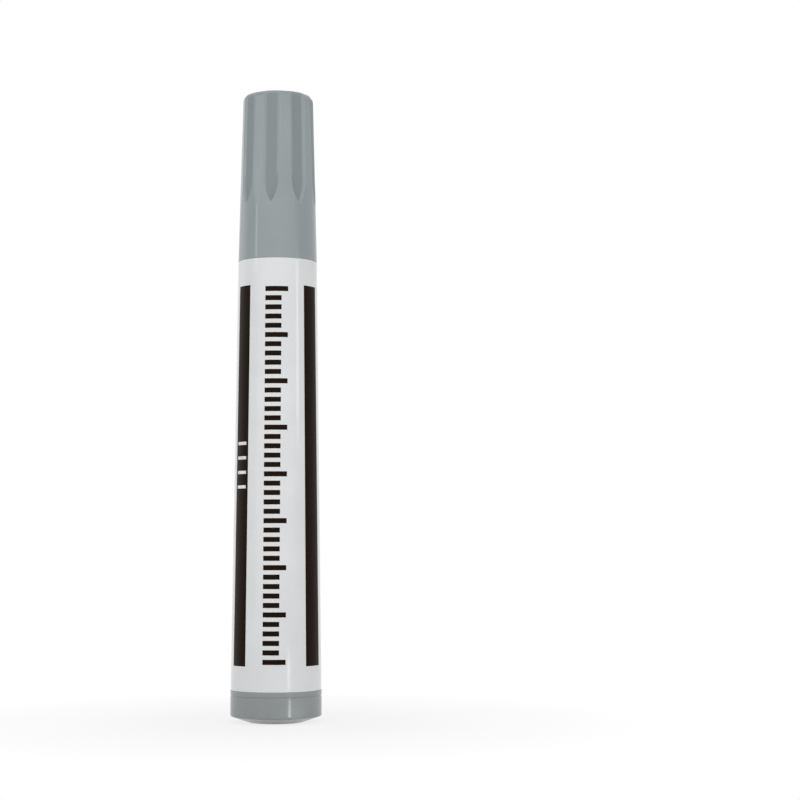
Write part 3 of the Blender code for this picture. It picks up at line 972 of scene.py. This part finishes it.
def ink_piece(name, patches, lift):
    """One layer of ink from several patches."""
    shape = bmesh.new()
    for patch in patches:
        ink_patch(shape, *patch, lift)
    bmesh.ops.recalc_face_normals(shape, faces=shape.faces)
    mesh = worked_mesh(name, shape)
    shade(mesh)
    return add(name, mesh)


def make_bands():
    """The two plain bands along the barrel."""
    sides = ((-BAND_OUTER, BAND_INNER_LEFT), (BAND_INNER_RIGHT, BAND_OUTER))
    return ink_piece("print_bands", [(*side, PRINT_FOOT, PRINT_TOP) for side in sides], PRINT_LIFT)


def make_scale():
    """A plain row of long and short ticks down the front."""
    pitch = (SCALE_TOP - SCALE_FOOT - TICK_WIDTH) / (TICK_COUNT - 1)
    patches = []
    for tick in range(TICK_COUNT):
        foot = SCALE_FOOT + pitch * tick
        length = TICK_SHORT if tick % TICK_LONG_EVERY else TICK_LONG
        end = SCALE_START + length / barrel_side(foot)
        patches.append((SCALE_START, end, foot, foot + TICK_WIDTH))
    return ink_piece("print_scale", patches, PRINT_LIFT)


def make_marks():
    """A few plain white strokes on the left band."""
    pitch = (MARK_TOP - MARK_FOOT - MARK_WIDTH) / (MARK_COUNT - 1)
    patches = []
    for mark in range(MARK_COUNT):
        foot = MARK_FOOT + pitch * mark
        patches.append((MARK_OUTER, MARK_INNER, foot, foot + MARK_WIDTH))
    return ink_piece("print_marks", patches, MARK_LIFT)


dress(make_cap(), cap_plastic, "cap", "cap_grey", "cap_shell")
dress(make_liner(), natural_plastic, "cap", "liner_natural", "cap_liner")
dress(make_barrel(), barrel_plastic, "holder", "barrel_white", "barrel")
dress(make_plug(), plug_plastic, "holder", "plug_grey", "end_plug")
dress(make_section(), section_plastic, "holder", "section_white", "front_section")
dress(make_nib(), nib_felt, "plunger", "nib_felt", "nib")
dress(make_valve_seat(), seat_rubber, "holder", "seat_rubber", "valve_seat")
dress(make_valve_stem(), natural_plastic, "plunger", "valve_natural", "valve_stem")
dress(make_valve_cage(), natural_plastic, "holder", "valve_natural", "valve_cage")
dress(make_ball(), ball_steel, "ball", "ball_steel", "mixing_ball")
dress(make_bands(), black_ink, "holder", "barrel_white")
dress(make_scale(), black_ink, "holder", "barrel_white")
dress(make_marks(), white_ink, "holder", "barrel_white")

spring = dress(make_spring(), spring_steel, "holder", "spring_steel", "valve_spring")
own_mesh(spring)


# Camera
CAMERA_DISTANCE = 362.0 * MM
CAMERA_HEIGHT = 33.7 * MM
CAMERA_PITCH = math.radians(4.333)
CAMERA_YAW = math.radians(3.725)
CAMERA_ROLL = math.radians(0.066)
CAMERA_LENS = 85.0
CAMERA_SENSOR = 36.0
CAMERA_NEAR = 10.0 * MM


def make_camera():
    """A camera at the front that looks past the marker's right side, a little upwards."""
    data = bpy.data.cameras.new("camera")
    data.lens = CAMERA_LENS
    data.sensor_width = CAMERA_SENSOR
    data.clip_start = CAMERA_NEAR
    camera = add("camera", data)
    camera.location = (0.0, -CAMERA_DISTANCE, CAMERA_HEIGHT)
    camera.rotation_euler = (QUARTER_TURN + CAMERA_PITCH, CAMERA_ROLL, -CAMERA_YAW)
    bpy.context.scene.camera = camera


# World and floor
AMBIENT = 0.56
FLOOR_SIZE = 6.0
FLOOR_COLOUR = (0.75, 0.75, 0.75)
FLOOR_ROUGHNESS = 0.9
SHADOW_SHARE = 0.20
SHADOW_NEAR = 0.02
SHADOW_FAR = 0.07


def sees_background(tree):
    """1 for rays that show the background: from the camera, in gloss and through glass."""
    rays = tree.nodes.new("ShaderNodeLightPath").outputs
    direct = reckon(tree, "MAXIMUM", rays["Is Camera Ray"], rays["Is Glossy Ray"])
    return reckon(tree, "MAXIMUM", direct, rays["Is Transmission Ray"])


def make_world():
    """Even soft light from all round, seen as plain white."""
    world = bpy.data.worlds.new("studio")
    world.use_nodes = True
    bpy.context.scene.world = world
    tree = world.node_tree
    background = tree.nodes["Background"]
    background.inputs["Color"].default_value = (1.0, 1.0, 1.0, 1.0)
    strength = ramp(tree, sees_background(tree), 0.0, 1.0, first=AMBIENT)
    tree.links.new(strength, background.inputs["Strength"])


def make_floor():
    """A pale floor that shows as white but for the marker's soft shadow."""
    bpy.ops.mesh.primitive_plane_add(size=FLOOR_SIZE)
    floor = bpy.context.object
    floor.name = "floor"
    material, tree, shader, place = shader_tree("floor")
    shader.inputs["Base Color"].default_value = (*FLOOR_COLOUR, 1.0)
    shader.inputs["Roughness"].default_value = FLOOR_ROUGHNESS
    shader.inputs["Specular IOR Level"].default_value = 0.0
    glow = tree.nodes.new("ShaderNodeEmission")
    glow.inputs["Strength"].default_value = 1.0
    away = tree.nodes.new("ShaderNodeVectorMath")
    away.operation = "LENGTH"
    tree.links.new(place, away.inputs[0])
    white = ramp(tree, away.outputs["Value"], SHADOW_NEAR, SHADOW_FAR, first=1.0 - SHADOW_SHARE)
    both = tree.nodes.new("ShaderNodeMixShader")
    tree.links.new(reckon(tree, "MULTIPLY", white, sees_background(tree)), both.inputs["Fac"])
    tree.links.new(shader.outputs["BSDF"], both.inputs[1])
    tree.links.new(glow.outputs["Emission"], both.inputs[2])
    tree.links.new(both.outputs["Shader"], tree.nodes["Material Output"].inputs["Surface"])
    floor.data.materials.append(material)


# Lamps
WIDE_BEAM = math.pi
MIDDLE = (0.0, 0.0, 60.0 * MM)


def lamp(name, foot, head, width, target, watts, beam=WIDE_BEAM, glossy=True):
    """A rectangular soft light between two points of its middle line, turned towards a target.

    Its beam is the angle that it spreads over. One that isn't glossy has no reflection in the pieces.
    """
    foot = Vector(foot)
    head = Vector(head)
    middle = (foot + head) / 2
    along = (head - foot).normalized()
    across = along.cross(middle - Vector(target)).normalized()
    facing = Matrix((across, along, across.cross(along))).transposed()
    data = bpy.data.lights.new(name, "AREA")
    data.shape = "RECTANGLE"
    data.size = width
    data.size_y = (head - foot).length
    data.energy = watts
    data.spread = beam
    light = add(name, data)
    light.matrix_world = Matrix.Translation(middle) @ facing.to_4x4()
    light.visible_camera = False
    light.visible_glossy = glossy


def make_lamps():
    """Large soft lamps for the light, and narrow ones for the highlights along the marker."""
    lamp(
        "key", foot=(-0.025, -0.445, 0.02), head=(-0.025, -0.27, 0.47), width=1.1,
        target=MIDDLE, watts=1.12,
    )
    lamp(
        "left_strip", foot=(-0.36, -0.16, 0.155), head=(-0.36, -0.16, 0.189), width=0.025,
        target=(0.0, 0.0, 0.095), watts=0.022,
    )
    lamp(
        "left_strip_top", foot=(-0.36, -0.16, 0.206), head=(-0.36, -0.16, 0.250), width=0.025,
        target=(0.0, 0.0, 0.11), watts=0.01,
    )
    lamp(
        "back_fill", foot=(0.0, 0.445, 0.02), head=(0.0, 0.27, 0.47), width=1.1,
        target=MIDDLE, watts=0.7, glossy=False,
    )
    lamp(
        "left_rim", foot=(-0.50, 0.30, 0.0), head=(-0.50, 0.30, 0.40), width=0.30,
        target=MIDDLE, watts=0.15,
    )
    lamp(
        "right_strip", foot=(0.305, -0.191, 0.084), head=(0.305, -0.191, 0.150), width=0.05,
        target=(0.0, 0.0, 0.07), watts=0.036,
    )
    lamp(
        "low_front", foot=(0.0553, -0.0929, 0.0006), head=(0.0553, -0.0929, 0.0104), width=0.016,
        target=(0.0, 0.0, 0.01), watts=0.0000318, beam=math.radians(26.0),
    )
    lamp(
        "low_strip", foot=(0.0092, -0.0182, 0.0002), head=(0.0092, -0.0182, 0.0038), width=0.001,
        target=(0.0, 0.0, 0.0045), watts=0.000007, beam=math.radians(30.0),
    )


make_camera()
make_world()
make_floor()
make_lamps()
bpy.context.scene.view_settings.view_transform = "Standard"
